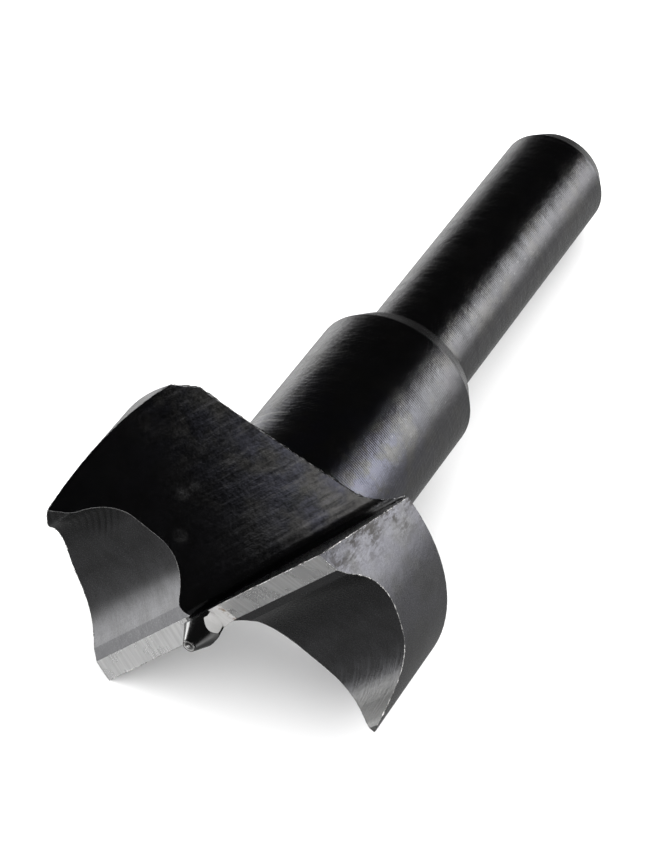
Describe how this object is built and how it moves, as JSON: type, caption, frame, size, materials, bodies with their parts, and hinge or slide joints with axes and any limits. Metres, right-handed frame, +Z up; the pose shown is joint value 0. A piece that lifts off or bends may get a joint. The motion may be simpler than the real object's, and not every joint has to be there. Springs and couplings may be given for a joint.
{
  "type": "wood boring bit",
  "caption": "One-piece wood boring bit: two-winged cutting head with ground edges, scoring spurs and centre point, on a thick collar and a round shank.",
  "frame": {"origin": "centre of the bounding box at its lowest height, on the surface the bit lies on", "axes": "+Z up, +X along the length towards the shank end as seen from above, +Y to the left of that; the axis of the bit dips 7.2 degrees towards the shank end"},
  "size_m": [0.0544, 0.025, 0.0206],
  "materials": {
    "tool_steel": "black oxide on the turned and milled faces, bright ground steel at the cutting edges"
  },
  "bodies": {
    "root": {"boring_bit": "tool_steel"}
  },
  "joints": []
}
